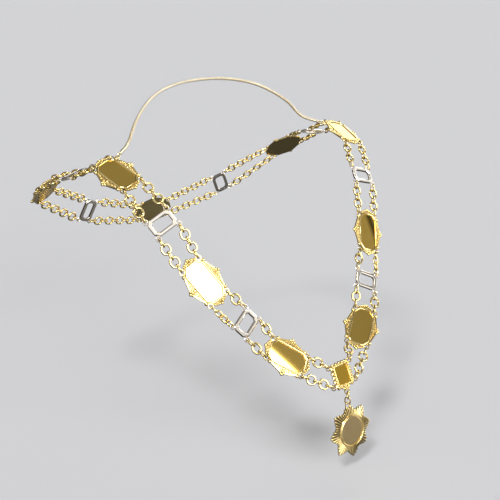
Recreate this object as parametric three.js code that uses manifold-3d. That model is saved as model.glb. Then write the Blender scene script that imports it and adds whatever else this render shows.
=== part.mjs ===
// Chain of office: a double row of chain that joins plaques and open frames into a loop worn over
// the shoulders, with a star badge below the centre link and a fine chain behind the neck.
// Millimetres, +Z up, the wearer faces -Y and the wearer's left is +X.
import * as THREE from 'three';
import { mergeVertices } from 'three/addons/utils/BufferGeometryUtils.js';
import Module from 'manifold-3d';

const wasm = await Module();
wasm.setup();

// Gap left between neighbouring pieces
const GAP = 0.3;

// Eyes at the corners of every plate
const EYE_RADIUS = 2.9;
const EYE_HOLE = 1.8;
const EYE_THICK = 1.2;
const EYE_SIDES = 6;
const EYE_HOLE_SIDES = 5;
const ROUND_EYE_SIDES = 8;

// Plaque: an eight-sided panel with a crest at each end and a wing on each long side
const PLAQUE_EYE_U = 19;
const PLAQUE_EYE_V = 9.6;
const PANEL_HALF_LENGTH = 20;
const PANEL_HALF_WIDTH = 9.3;
const PANEL_CHAMFER_U = 5;
const PANEL_CHAMFER_V = 4;
const CREST_REACH = 24.7;
const WING_REACH = 17.3;
const KNOB_U = 15;
const KNOB_V = 11.6;
const PLAQUE_BACK = -0.6;
const PLAQUE_FACE = 0.6;
const RAIL_WIDTH = 1.3;
const RAIL_TOP = 1.7;
const RELIEF_TOP = 1.2;
const BEAD_TOP = 1.8;

// Open frame between plaques, with a ridge along the middle of its bar
const FRAME_EYE_U = 8.7;
const FRAME_EYE_V = 11.5;
const FRAME_HALF_U = 8.4;
const FRAME_HALF_V = 12.2;
const FRAME_CHAMFER = 3.6;
const FRAME_BAR = 4.4;
const FRAME_BACK = -1.2;
const FRAME_SHOULDER = 0.5;
const FRAME_RIDGE = 1.8;

// Centre link: a square panel in a broad border, with an eye below for the badge
const CENTRE = { y: -174.6, z: -195, lean: 27.5 };
const CENTRE_PANEL_U = 7.4;
const CENTRE_PANEL_V = 7.8;
const CENTRE_HALF = 12.1;
const CENTRE_CHAMFER = 2.6;
const CENTRE_TOP_EYE = { u: 13.6, v: 10.2 };
const CENTRE_LOW_EYE = { u: 14.2, v: -8.2 };
const CENTRE_DROP_EYE = { u: 0, v: -15.6, radius: 3.3, hole: 2.3 };

// Badge: an eight-pointed star of ribbed rays, a rim and a round disc in the rim
const STAR_POINTS = 8;
const STAR_RIBS = 3;
const STAR_TIP = 26;
const STAR_VALLEY = 19.5;
const STAR_BACK = -0.7;
const STAR_RIB_TOP = 1.1;
const STAR_RIB_FOOT = 0.7;
const RIM_OUTER = 15.6;
const RIM_INNER = 14;
const RIM_TOP = 2.6;
const DISC_FLOOR = 0.6;
const DISC_TOP = 1.9;
const STAR_EYE = { u: 0, v: 25, radius: 3.3, hole: 2.3 };
const STAR_LEAN = 12;

// Links: oblong ones and round rings take turns along a run
const LINK_SIDES = 10;
const WIRE_SIDES = 5;
const OBLONG = { length: 9.2, width: 5.7, wire: 1.3 };
const RING = { length: 10, width: 10, wire: 1.7 };
const LINK_BITE = 0.16;
const DROP_LINK = { length: 8.4, width: 6.2, wire: 1.2 };
const DROP_EASE = 0.5;
const DROP_TURNS = [60, 120];

// Runs at the back are plain tubes of the chain's middle width
const TUBE_RADIUS = 1.5;
const TUBE_SIDES = 8;
const TUBE_STEP = 20;

// Fine chain behind the neck, on a small eye of each shoulder plaque
const NECK_RADIUS = 1;
const NECK_STEPS = 40;
const NECK_EYE = { u: -16.4, v: 14.6, radius: 2.4, hole: 1.4 };
const NECK_RING = { length: 6, width: 6, wire: 1 };

// The way of the chain down the front of one shoulder. x is the distance from the middle, facing is
// the side that the plate shows, and lean turns a plate about the run on each side of the wearer.
const CHEST = [0, -0.75, 0.66];
const FRONT = [
  { kind: 'plaque', x: 139, y: -30, z: -12, leanRight: 14, leanLeft: 2, along: [0.18, -0.92, -0.33] },
  { kind: 'frame', x: 124, y: -75, z: -48, leanRight: 16, leanLeft: 4 },
  { kind: 'plaque', x: 103, y: -105, z: -98, leanRight: 20, leanLeft: 0 },
  { kind: 'frame', x: 77, y: -130, z: -136, leanRight: 6, leanLeft: 2 },
  { kind: 'plaque', x: 48, y: -152, z: -170, leanRight: 10, leanLeft: -22 },
];
// The way over the shoulder and round the back, from the shoulder plaque to the middle of the back
const BACK = [
  { kind: 'frame', x: 150, y: 28, z: -22, facing: [-0.25, 0.45, 0.86] },
  { kind: 'plaque', x: 155, y: 83, z: -49, facing: [-0.35, 0.65, 0.68] },
  { kind: 'frame', x: 90, y: 124, z: -92, facing: [-0.25, 0.93, 0.26] },
];
const BACK_PLAQUE = { x: 0, y: 136, z: -112, facing: [0, 0.97, 0.24] };
// Links in the outer and inner run of each gap down the front. Those on the shoulder are plain tubes.
const FRONT_LINKS = [
  { outer: 5, inner: 5, tube: true },
  { outer: 5, inner: 5 },
  { outer: 4, inner: 3 },
  { outer: 3, inner: 3 },
  { outer: 5, inner: 3 },
];
// Half of the fine chain's way from the shoulder plaque to the nape
const NECK_WAY = [
  { x: 108, y: 2, z: 5 },
  { x: 93, y: 11, z: 22 },
  { x: 66, y: 25, z: 39 },
  { x: 34, y: 35, z: 47 },
];
const NAPE = { y: 38, z: 49 };

const GOLD = new THREE.MeshStandardMaterial({ color: 0xcaa545, roughness: 0.25, metalness: 1 });
const SILVER = new THREE.MeshStandardMaterial({ color: 0xd9d6d0, roughness: 0.2, metalness: 1 });

function vec(p) {
  return new THREE.Vector3(p[0], p[1], p[2]);
}

function solid(geometry) {
  const bare = geometry.clone();
  bare.deleteAttribute('normal');
  bare.deleteAttribute('uv');
  const merged = mergeVertices(bare, 1e-4);
  const vertProperties = new Float32Array(merged.attributes.position.array);
  const triVerts = new Uint32Array(merged.index.array);
  return new wasm.Manifold(new wasm.Mesh({ numProp: 3, vertProperties, triVerts }));
}

function geometryOf(body) {
  const mesh = body.getMesh();
  const geometry = new THREE.BufferGeometry();
  geometry.setAttribute('position', new THREE.BufferAttribute(new Float32Array(mesh.vertProperties), 3));
  geometry.setIndex(new THREE.BufferAttribute(new Uint32Array(mesh.triVerts), 1));
  const flat = geometry.toNonIndexed();
  flat.computeVertexNormals();
  return flat;
}

function fuse(bodies) {
  return bodies.reduce((sum, next) => sum.add(next));
}

// A flat slab between two heights, with round holes through it
function slab(outline, holes, low, high) {
  const shape = new THREE.Shape(outline.map(([x, y]) => new THREE.Vector2(x, y)));
  for (const hole of holes) {
    shape.holes.push(new THREE.Path(hole.map(([x, y]) => new THREE.Vector2(x, y))));
  }
  const geometry = new THREE.ExtrudeGeometry(shape, { depth: high - low, bevelEnabled: false, steps: 1 });
  return solid(geometry.translate(0, 0, low));
}

function ring(u, v, radius, sides, turn = 0.5) {
  const points = [];
  for (let k = 0; k < sides; k += 1) {
    const angle = ((k + turn) / sides) * 2 * Math.PI;
    points.push([u + radius * Math.cos(angle), v + radius * Math.sin(angle)]);
  }
  return points;
}

function eyeAt(u, v) {
  const half = EYE_THICK / 2;
  return slab(ring(u, v, EYE_RADIUS, EYE_SIDES), [ring(u, v, EYE_HOLE, EYE_HOLE_SIDES, 0)], -half, half);
}

function drill(u, v) {
  return slab(ring(u, v, EYE_HOLE, EYE_HOLE_SIDES, 0), [], -6, 6);
}

// A round eye of its own size is fused to a plate and its hole is cut through both
function withEye(body, { u, v, radius, hole }) {
  const half = EYE_THICK / 2;
  const eye = slab(ring(u, v, radius, ROUND_EYE_SIDES), [], -half, half);
  return body.add(eye).subtract(slab(ring(u, v, hole, ROUND_EYE_SIDES), [], -6, 6));
}

// An outline with one quarter given, repeated in the other three
function fourfold(quarter) {
  const half = [...quarter, ...quarter.map(([u, v]) => [-u, v]).reverse()];
  return [...half, ...half.map(([u, v]) => [u, -v]).reverse()];
}

function octagon(halfU, halfV, cutU, cutV) {
  return fourfold([
    [halfU, halfV - cutV],
    [halfU - cutU, halfV],
  ]);
}

function cornerSigns() {
  return [
    [1, 1],
    [-1, 1],
    [-1, -1],
    [1, -1],
  ];
}

function plaqueBody(neckSide) {
  const corners = cornerSigns().map(([a, b]) => [a * PLAQUE_EYE_U, b * PLAQUE_EYE_V]);
  const plate = slab(
    fourfold([
      [CREST_REACH, 1.4],
      [PANEL_HALF_LENGTH + 1.4, 5.8],
      [PLAQUE_EYE_U + 2.6, PLAQUE_EYE_V - 1],
      [PLAQUE_EYE_U + 1.9, PLAQUE_EYE_V + 2],
      [KNOB_U + 1.4, KNOB_V + 1.4],
      [KNOB_U - 1.2, KNOB_V + 1.2],
      [1.9, WING_REACH - 2.2],
      [1.3, WING_REACH],
    ]),
    corners.map(([u, v]) => ring(u, v, EYE_HOLE, EYE_HOLE_SIDES, 0)),
    PLAQUE_BACK,
    PLAQUE_FACE,
  );
  const outer = octagon(PANEL_HALF_LENGTH, PANEL_HALF_WIDTH, PANEL_CHAMFER_U, PANEL_CHAMFER_V);
  const inner = octagon(
    PANEL_HALF_LENGTH - RAIL_WIDTH,
    PANEL_HALF_WIDTH - RAIL_WIDTH,
    PANEL_CHAMFER_U - 0.5,
    PANEL_CHAMFER_V - 0.4,
  );
  const parts = [plate, slab(outer, [inner], 0, RAIL_TOP)];
  for (const end of [1, -1]) {
    const field = [
      [-11, end * (PANEL_HALF_WIDTH + 1.4)],
      [11, end * (PANEL_HALF_WIDTH + 1.4)],
      [0, end * (WING_REACH - 3)],
    ];
    parts.push(slab(field, [], 0, RELIEF_TOP));
    parts.push(slab(ring(0, end * (WING_REACH - 1.3), 1.15, 5), [], 0, BEAD_TOP));
    parts.push(slab(ring(end * (CREST_REACH - 1.5), 0, 1.3, 5), [], 0, BEAD_TOP));
  }
  const body = fuse(parts);
  if (!neckSide) {
    return body;
  }
  return withEye(body, { ...NECK_EYE, v: neckSide * NECK_EYE.v });
}

// A bar carried round an eight-sided way: the section is given as inset from the outer edge and height
function frameBar(section) {
  const rings = section.map(([inset]) => {
    const chamfer = FRAME_CHAMFER - 0.586 * inset;
    return octagon(FRAME_HALF_U - inset, FRAME_HALF_V - inset, chamfer, chamfer);
  });
  const count = rings[0].length;
  const positions = [];
  const index = [];
  rings.forEach((points, row) => points.forEach(([u, v]) => positions.push(u, v, section[row][1])));
  const at = (row, k) => (row % section.length) * count + (k % count);
  for (let row = 0; row < section.length; row += 1) {
    for (let k = 0; k < count; k += 1) {
      index.push(at(row, k), at(row, k + 1), at(row + 1, k + 1));
      index.push(at(row, k), at(row + 1, k + 1), at(row + 1, k));
    }
  }
  const geometry = new THREE.BufferGeometry();
  geometry.setAttribute('position', new THREE.Float32BufferAttribute(positions, 3));
  geometry.setIndex(index);
  return solid(geometry);
}

function frameBody() {
  const bar = frameBar([
    [0, FRAME_BACK],
    [0, FRAME_SHOULDER],
    [FRAME_BAR / 2, FRAME_RIDGE],
    [FRAME_BAR, FRAME_SHOULDER],
    [FRAME_BAR, FRAME_BACK],
  ]);
  const eyes = cornerSigns().map(([a, b]) => eyeAt(a * FRAME_EYE_U, b * FRAME_EYE_V));
  let body = fuse([bar, ...eyes]);
  for (const [a, b] of cornerSigns()) {
    body = body.subtract(drill(a * FRAME_EYE_U, b * FRAME_EYE_V));
  }
  return body;
}

function centreBody() {
  const outline = octagon(CENTRE_HALF, CENTRE_HALF, CENTRE_CHAMFER, CENTRE_CHAMFER);
  const plate = slab(outline, [], PLAQUE_BACK, PLAQUE_FACE);
  const border = slab(
    octagon(CENTRE_HALF - 0.6, CENTRE_HALF - 0.6, CENTRE_CHAMFER, CENTRE_CHAMFER),
    [octagon(CENTRE_PANEL_U, CENTRE_PANEL_V, 0.6, 0.6)],
    0,
    RAIL_TOP + 0.3,
  );
  const crest = slab(
    [
      [4.6, -11],
      [-4.6, -11],
      [-2.2, CENTRE_DROP_EYE.v + 1],
      [2.2, CENTRE_DROP_EYE.v + 1],
    ],
    [],
    PLAQUE_BACK,
    PLAQUE_FACE,
  );
  const eyes = centreEyes();
  let body = fuse([plate, border, crest, ...eyes.map(({ u, v }) => eyeAt(u, v))]);
  for (const { u, v } of eyes) {
    body = body.subtract(drill(u, v));
  }
  return withEye(body, CENTRE_DROP_EYE);
}

function centreEyes() {
  return [
    CENTRE_TOP_EYE,
    { u: -CENTRE_TOP_EYE.u, v: CENTRE_TOP_EYE.v },
    CENTRE_LOW_EYE,
    { u: -CENTRE_LOW_EYE.u, v: CENTRE_LOW_EYE.v },
  ];
}

// Radius of the star's edge: it falls from each tip to a hollow between two tips
function starRadius(turn) {
  const across = Math.abs((turn * STAR_POINTS) % 1 - 0.5) * 2;
  return STAR_VALLEY + (STAR_TIP - STAR_VALLEY) * across ** 1.6;
}

// The star is made of rings of points from the middle of its back round to the floor of its well
function starBody() {
  const count = STAR_POINTS * STAR_RIBS * 2;
  const ribbed = (low) => (k) => {
    const rib = k % 2 === 0;
    return [starRadius(k / count) - (rib ? 0 : 0.8), low ?? (rib ? STAR_RIB_TOP : STAR_RIB_FOOT)];
  };
  const rings = [
    ribbed(STAR_BACK),
    ribbed(),
    () => [RIM_OUTER, STAR_RIB_TOP + 0.5],
    () => [RIM_OUTER - 0.2, RIM_TOP],
    () => [RIM_INNER, RIM_TOP],
    () => [RIM_INNER, DISC_FLOOR],
  ];
  const positions = [0, 0, STAR_BACK, 0, 0, DISC_FLOOR];
  const index = [];
  const starts = [];
  rings.forEach((at, row) => {
    starts.push(positions.length / 3);
    for (let k = 0; k < count; k += row < 2 ? 1 : 2) {
      const angle = (k / count) * 2 * Math.PI + Math.PI / 2;
      const [radius, height] = at(k);
      positions.push(radius * Math.cos(angle), radius * Math.sin(angle), height);
    }
  });
  const low = (k) => starts[0] + (k % count);
  const edge = (k) => starts[1] + (k % count);
  const round = (row, k) => starts[row] + (k % (count / 2));
  for (let k = 0; k < count; k += 1) {
    index.push(0, low(k + 1), low(k));
    index.push(low(k), low(k + 1), edge(k + 1), low(k), edge(k + 1), edge(k));
  }
  for (let k = 0; k < count / 2; k += 1) {
    index.push(edge(2 * k), edge(2 * k + 1), round(2, k));
    index.push(edge(2 * k + 1), round(2, k + 1), round(2, k));
    index.push(edge(2 * k + 1), edge(2 * k + 2), round(2, k + 1));
    for (let row = 2; row < 5; row += 1) {
      index.push(round(row, k), round(row, k + 1), round(row + 1, k + 1));
      index.push(round(row, k), round(row + 1, k + 1), round(row + 1, k));
    }
    index.push(1, round(5, k), round(5, k + 1));
  }
  const geometry = new THREE.BufferGeometry();
  geometry.setAttribute('position', new THREE.Float32BufferAttribute(positions, 3));
  geometry.setIndex(index);
  return withEye(solid(geometry), STAR_EYE);
}

function discBody() {
  const sides = STAR_POINTS * STAR_RIBS;
  return slab(ring(0, 0, RIM_INNER - GAP, sides, 0), [], DISC_FLOOR + GAP, DISC_TOP);
}

// A link lies in its X and Y plane with its length along X: a ring whose halves are moved apart
function linkBody({ length, width, wire }) {
  const profile = [];
  for (let k = 0; k <= WIRE_SIDES; k += 1) {
    const angle = (k / WIRE_SIDES) * 2 * Math.PI + Math.PI;
    const radius = (width - wire) / 2 + (wire / 2) * Math.cos(angle);
    profile.push(new THREE.Vector2(radius / Math.cos(Math.PI / LINK_SIDES), (wire / 2) * Math.sin(angle)));
  }
  const geometry = new THREE.LatheGeometry(profile, LINK_SIDES);
  geometry.rotateX(Math.PI / 2).rotateZ(Math.PI / 2 + Math.PI / LINK_SIDES);
  const position = geometry.attributes.position;
  const apart = (length - width) / 2;
  for (let k = 0; k < position.count; k += 1) {
    const x = position.getX(k);
    position.setX(k, Math.abs(x) < 0.01 ? 0 : x + Math.sign(x) * apart);
  }
  return solid(geometry);
}

function matrixOf(along, up, at) {
  const across = new THREE.Vector3().crossVectors(up, along);
  return new THREE.Matrix4().makeBasis(along, across, up).setPosition(at);
}

function moved(body, matrix) {
  return body.transform(matrix.elements);
}

function squareTo(direction, along) {
  return direction.clone().addScaledVector(along, -direction.dot(along)).normalize();
}

// The place of a plate: its middle, the way of the chain and the side that it shows
function placePlate(row, before, after, side) {
  const at = new THREE.Vector3(-row.x, row.y, row.z);
  const along = row.along
    ? vec(row.along)
    : at.clone().sub(before).normalize().add(after.clone().sub(at).normalize());
  along.normalize();
  const up = squareTo(vec(row.facing ?? CHEST), along);
  const lean = (side > 0 ? row.leanLeft : row.leanRight) ?? 0;
  up.applyAxisAngle(along, (lean * Math.PI) / 180);
  for (const v of [at, along, up]) {
    v.x *= -side;
  }
  return { kind: row.kind, side, at, matrix: matrixOf(along, up, at) };
}

function middleOf(row) {
  return new THREE.Vector3(-row.x, row.y, row.z);
}

// An eye of a plate in the shared frame: end is 1 toward the next plate, inner is the neck side
function eyePoint(plate, end, inner) {
  const size = plate.kind === 'plaque' ? [PLAQUE_EYE_U, PLAQUE_EYE_V] : [FRAME_EYE_U, FRAME_EYE_V];
  const row = (inner ? 1 : -1) * -plate.side;
  return new THREE.Vector3(end * size[0], row * size[1], 0).applyMatrix4(plate.matrix);
}

function upOf(plate) {
  return new THREE.Vector3().setFromMatrixColumn(plate.matrix, 2);
}

// The links that make a run: oblong and round take turns, with oblong ones at both ends
function linkKinds(count) {
  const kinds = [];
  for (let k = 0; k < count; k += 1) {
    const fromEnd = count - 1 - k;
    kinds.push(fromEnd % 2 === 0 || (count % 2 === 0 && k === 0) ? OBLONG : RING);
  }
  return kinds;
}

// How far a wire lies behind the middle of the wall that it holds, clear of the hole's flat sides
function holdOf(radius, hole, wire, sides = ROUND_EYE_SIDES) {
  const clear = hole * Math.cos(Math.PI / sides) - GAP - wire / 2;
  return (radius + hole) / 2 - clear;
}

// Where a run pulls on its two eyes: the middle of each eye's wall on the side toward the other eye
function pivots(from, to, upFrom, upTo) {
  const middle = (EYE_RADIUS + EYE_HOLE) / 2;
  const start = from.clone().addScaledVector(squareTo(to.clone().sub(from), upFrom), middle);
  const end = to.clone().addScaledVector(squareTo(from.clone().sub(to), upTo), middle);
  return [start, end];
}

// A run turns from the facing of one plate to that of the next
function runBody(from, to, upStart, upEnd, count) {
  const [start, end] = pivots(from, to, upStart, upEnd);
  const along = end.clone().sub(start).normalize();
  const hold = holdOf(EYE_RADIUS, EYE_HOLE, OBLONG.wire, EYE_HOLE_SIDES);
  start.addScaledVector(along, -hold);
  end.addScaledVector(along, hold);
  const length = start.distanceTo(end);
  const kinds = linkKinds(count);
  const overlaps = kinds.slice(1).map((kind, k) => (kind.wire + kinds[k].wire) / 2 - LINK_BITE);
  const taken = overlaps.reduce((a, b) => a + b, 0);
  const natural = kinds.reduce((sum, kind) => sum + kind.length - kind.wire, 0);
  const stretch = (length + taken) / natural;
  const quarterTurns = Math.round((count + 1) / 2);
  let reach = 0;
  const links = kinds.map((kind, k) => {
    const span = (kind.length - kind.wire) * stretch;
    const middle = start.clone().addScaledVector(along, reach + span / 2);
    reach += span - (overlaps[k] ?? 0);
    const turn = ((k + 1) * Math.PI * quarterTurns) / (count + 1);
    const facing = squareTo(upStart.clone().lerp(upEnd, k / (count - 1)), along);
    const normal = facing.applyAxisAngle(along, turn);
    const link = linkBody({ length: span + kind.wire, width: kind.width, wire: kind.wire });
    return moved(link, matrixOf(along, normal, middle));
  });
  return fuse(links);
}

function circleShape(radius, sides) {
  return new THREE.Shape(ring(0, 0, radius, sides).map(([x, y]) => new THREE.Vector2(x, y)));
}

// A plain tube between two eyes, clear of both
function tubeBody(from, to, plateFrom, plateTo) {
  const [start, end] = pivots(from, to, upOf(plateFrom), upOf(plateTo));
  const along = end.clone().sub(start).normalize();
  const eyeEdge = (EYE_RADIUS - EYE_HOLE) / 2;
  const clearOf = (plate) => {
    const axis = new THREE.Vector3().setFromMatrixColumn(plate.matrix, 0);
    const lift = (EYE_THICK / 2) * Math.abs(along.dot(upOf(plate)));
    return eyeEdge + GAP + lift + 1.35 * TUBE_RADIUS * (1 - Math.abs(along.dot(axis)));
  };
  const path = new THREE.LineCurve3(
    start.clone().addScaledVector(along, clearOf(plateFrom)),
    end.clone().addScaledVector(along, -clearOf(plateTo)),
  );
  const steps = Math.max(1, Math.round(path.getLength() / TUBE_STEP));
  const section = circleShape(TUBE_RADIUS, TUBE_SIDES);
  return solid(new THREE.ExtrudeGeometry(section, { extrudePath: path, steps }));
}

const group = new THREE.Group();
group.name = 'chain_of_office';

function add(name, body, material) {
  const mesh = new THREE.Mesh(geometryOf(body), material.clone());
  mesh.name = name;
  group.add(mesh);
}

const frame = frameBody();
const plaque = plaqueBody(0);
const centreMatrix = new THREE.Matrix4()
  .makeRotationX(Math.PI / 2 - (CENTRE.lean * Math.PI) / 180)
  .setPosition(0, CENTRE.y, CENTRE.z);
const centrePoint = ({ u, v }) => new THREE.Vector3(u, v, 0).applyMatrix4(centreMatrix);
const centreUp = new THREE.Vector3().setFromMatrixColumn(centreMatrix, 2);
add('centre_link', moved(centreBody(), centreMatrix), GOLD);

const backMiddle = middleOf(BACK_PLAQUE);
const backPlate = placePlate(
  { kind: 'plaque', ...BACK_PLAQUE, along: [-1, 0, 0] },
  backMiddle,
  backMiddle,
  -1,
);
add('back_plaque', moved(plaque, backPlate.matrix), GOLD);

const neckEnds = {};
for (const [word, side] of [
  ['right', -1],
  ['left', 1],
]) {
  // Plates of this side, from the back over the shoulder to the front
  const rows = [...BACK].reverse().concat(FRONT);
  const middles = [backMiddle, ...rows.map(middleOf), new THREE.Vector3(0, CENTRE.y, CENTRE.z)];
  const plates = rows.map((row, k) => placePlate(row, middles[k], middles[k + 2], side));
  const shoulder = BACK.length;
  const names = rows.map((row, k) => {
    const place = k < shoulder ? `back_${word}` : word;
    const number = k < shoulder ? Math.ceil((shoulder - k) / 2) : Math.floor((k - shoulder) / 2) + 1;
    return `${place}_${row.kind}_${number}`;
  });
  plates.forEach((plate, k) => {
    const neckSide = k === shoulder ? -side : 0;
    const body = plate.kind === 'frame' ? frame : neckSide ? plaqueBody(neckSide) : plaque;
    add(names[k], moved(body, plate.matrix), plate.kind === 'frame' ? SILVER : GOLD);
  });

  for (const [row, inner] of [
    ['outer', false],
    ['inner', true],
  ]) {
    // Runs at the back, counted from the shoulder
    for (let k = 0; k < shoulder; k += 1) {
      const near = plates[shoulder - k];
      const far = plates[shoulder - k - 1];
      const body = tubeBody(eyePoint(near, -1, inner), eyePoint(far, 1, inner), near, far);
      add(`back_${word}_run_${k + 1}_${row}`, body, GOLD);
    }
    const last = eyePoint(plates[0], -1, inner);
    const ends = [1, -1].flatMap((a) => [1, -1].map((b) => backEye(a, b)));
    const near = ends
      .filter((p) => Math.sign(p.x) === side)
      .sort((p, q) => (inner ? q.z - p.z : p.z - q.z))[0];
    const lastBody = tubeBody(last, near, plates[0], backPlate);
    add(`back_${word}_run_${shoulder + 1}_${row}`, lastBody, GOLD);

    // Runs down the front, counted from the shoulder
    FRONT_LINKS.forEach((links, k) => {
      const plate = plates[shoulder + k];
      const from = eyePoint(plate, 1, inner);
      const next = plates[shoulder + k + 1];
      const eye = inner ? CENTRE_TOP_EYE : CENTRE_LOW_EYE;
      const to = next ? eyePoint(next, -1, inner) : centrePoint({ u: side * eye.u, v: eye.v });
      const body = links.tube
        ? tubeBody(from, to, plate, next)
        : runBody(from, to, upOf(plate), next ? upOf(next) : centreUp, links[row]);
      add(`${word}_run_${k + 1}_${row}`, body, GOLD);
    });
  }
  neckEnds[word] = { plate: plates[shoulder], side };
}

function backEye(a, b) {
  return new THREE.Vector3(a * PLAQUE_EYE_U, b * PLAQUE_EYE_V, 0).applyMatrix4(backPlate.matrix);
}

// Badge on two links below the centre link. Each link hangs from the wall of the eye above it.
const down = new THREE.Vector3(0, 0, -1);
const eyeWall = (CENTRE_DROP_EYE.radius + CENTRE_DROP_EYE.hole) / 2;
const hold = holdOf(CENTRE_DROP_EYE.radius, CENTRE_DROP_EYE.hole, DROP_LINK.wire) + DROP_EASE;
const dropPivot = centrePoint({ u: 0, v: CENTRE_DROP_EYE.v - eyeWall });
const linkTop = dropPivot.clone().addScaledVector(down, -hold);
const linkReach = DROP_LINK.length - DROP_LINK.wire;
const linkApart = DROP_LINK.wire + GAP;
const dropLinks = DROP_TURNS.map((degrees, k) => {
  const middle = linkTop.clone().addScaledVector(down, linkReach / 2 + k * (linkReach - linkApart));
  const turn = (degrees * Math.PI) / 180;
  const normal = new THREE.Vector3(Math.sin(turn), -Math.cos(turn), 0);
  return moved(linkBody(DROP_LINK), matrixOf(down, normal, middle));
});
add('badge_link_upper', dropLinks[0], GOLD);
add('badge_link_lower', dropLinks[1], GOLD);
const linkFoot = linkTop.clone().addScaledVector(down, 2 * linkReach - linkApart);
const badgeTurn = new THREE.Matrix4().makeRotationX(Math.PI / 2 - (STAR_LEAN * Math.PI) / 180);
const badgeMiddle = new THREE.Vector3(0, -STAR_EYE.v - eyeWall, 0).applyMatrix4(badgeTurn);
badgeMiddle.add(linkFoot).addScaledVector(down, -hold);
const badgeMatrix = badgeTurn.clone().setPosition(badgeMiddle);
add('badge_star', moved(starBody(), badgeMatrix), GOLD);
add('badge_disc', moved(discBody(), badgeMatrix), GOLD);

// Fine chain behind the neck, with a small ring at each end
const neckHold = holdOf(NECK_EYE.radius, NECK_EYE.hole, NECK_RING.wire);
const neckWall = (NECK_EYE.radius + NECK_EYE.hole) / 2;
const neckFirst = NECK_WAY[0];
const neckToward = [-1, 1].map((side) => new THREE.Vector3(side * neckFirst.x, neckFirst.y, neckFirst.z));
const neckPivot = Object.values(neckEnds).map(({ plate, side }, k) => {
  const eye = new THREE.Vector3(NECK_EYE.u, -side * NECK_EYE.v, 0).applyMatrix4(plate.matrix);
  return eye.addScaledVector(squareTo(neckToward[k].clone().sub(eye), upOf(plate)), neckWall);
});
const neckOut = neckPivot.map((pivot, k) => neckToward[k].clone().sub(pivot).normalize());
const ringStart = neckPivot.map((pivot, k) => pivot.clone().addScaledVector(neckOut[k], -neckHold));
const ringReach = NECK_RING.length - NECK_RING.wire;
const tubeEnds = ringStart.map((start, k) => start.clone().addScaledVector(neckOut[k], ringReach - 0.2));
const neckPoints = [
  tubeEnds[0],
  ...NECK_WAY.map(({ x, y, z }) => new THREE.Vector3(-x, y, z)),
  new THREE.Vector3(0, NAPE.y, NAPE.z),
  ...[...NECK_WAY].reverse().map(({ x, y, z }) => new THREE.Vector3(x, y, z)),
  tubeEnds[1],
];
const neckPath = new THREE.CatmullRomCurve3(neckPoints, false, 'centripetal');
const neckSection = circleShape(NECK_RADIUS, TUBE_SIDES);
const neckOptions = { extrudePath: neckPath, steps: NECK_STEPS };
const neckTube = solid(new THREE.ExtrudeGeometry(neckSection, neckOptions));
const neckRings = ringStart.map((start, k) => {
  const plateUp = upOf(Object.values(neckEnds)[k].plate);
  const normal = new THREE.Vector3().crossVectors(neckOut[k], squareTo(plateUp, neckOut[k]));
  const middle = start.clone().addScaledVector(neckOut[k], ringReach / 2);
  return moved(linkBody(NECK_RING), matrixOf(neckOut[k], normal, middle));
});
add('neck_chain', fuse([neckTube, ...neckRings]), GOLD);

export default group;
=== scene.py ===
import math

import bpy
import numpy as np
from mathutils import Matrix, Vector


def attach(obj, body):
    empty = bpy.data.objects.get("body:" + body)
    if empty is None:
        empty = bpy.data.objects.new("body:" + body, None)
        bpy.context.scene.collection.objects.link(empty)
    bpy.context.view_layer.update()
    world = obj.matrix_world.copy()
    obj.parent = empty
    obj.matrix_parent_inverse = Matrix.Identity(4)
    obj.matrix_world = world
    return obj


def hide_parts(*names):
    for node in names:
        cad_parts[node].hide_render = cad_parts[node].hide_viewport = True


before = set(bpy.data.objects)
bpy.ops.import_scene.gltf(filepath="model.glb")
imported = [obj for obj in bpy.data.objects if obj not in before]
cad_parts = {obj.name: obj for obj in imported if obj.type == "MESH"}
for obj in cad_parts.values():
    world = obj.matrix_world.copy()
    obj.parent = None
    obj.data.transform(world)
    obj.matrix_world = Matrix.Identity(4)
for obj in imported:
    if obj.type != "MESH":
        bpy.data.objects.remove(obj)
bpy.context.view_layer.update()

mm = 0.001  # shapes are worked out in millimetres and put into the meshes in metres
signs = [(a, b) for a in (1, -1) for b in (1, -1)]  # the four quarters of a plate


# Directions and places


def unit(v):
    v = np.asarray(v, float)
    return v / np.linalg.norm(v, axis=-1, keepdims=True)


def squareTo(v, axis):  # v less its share along axis, made one long
    v, axis = np.asarray(v, float), np.asarray(axis, float)
    return unit(v - axis * np.sum(v * axis, -1, keepdims=True))


def turned(v, axis, angle):  # v cos + (axis x v) sin + axis (axis . v)(1 - cos)
    c, s = math.cos(angle), math.sin(angle)
    return v * c + np.cross(axis, v) * s + axis * np.dot(axis, v) * (1 - c)


def seat(along, up, at):  # a plate's own u, v and up directions as rows, and its middle
    along, up = unit(along), unit(up)
    return {"axes": np.stack([along, np.cross(up, along), up]), "at": np.asarray(at, float)}


def onSeat(points, place):
    return np.asarray(points, float) @ place["axes"] + place["at"]


# Surfaces: a part is its points, its faces and a tone at each point, which is -1 on rich polished metal,
# 0 on bright metal, about 0.5 on satin metal and 1 in the recesses, where the colour is painted shade


def gridQuads(rows, cols, closed):  # the columns always close round, the rows where asked
    i, j = np.meshgrid(np.arange(rows if closed else rows - 1), np.arange(cols), indexing="ij")
    a, b = (i + 1) % rows, (j + 1) % cols
    return np.stack([i * cols + j, a * cols + j, a * cols + b, i * cols + b], -1).reshape(-1, 4)


def endFans(rows, cols):  # from the two points after a grid to its first and its last row
    j = np.arange(cols)
    jn, last, end = (j + 1) % cols, (rows - 1) * cols, rows * cols
    return np.concatenate([
        np.stack([np.full(cols, end), j, jn], -1),
        np.stack([np.full(cols, end + 1), last + jn, last + j], -1)])


def part(co, quads, tris=None, tone=0.0):
    co = np.asarray(co, float).reshape(-1, 3)
    tris = np.zeros((0, 3), int) if tris is None else np.asarray(tris, int)
    tone = np.broadcast_to(tone, len(co)).astype(float)
    return {"co": co, "quads": np.asarray(quads, int), "tris": tris, "tone": tone}


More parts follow.
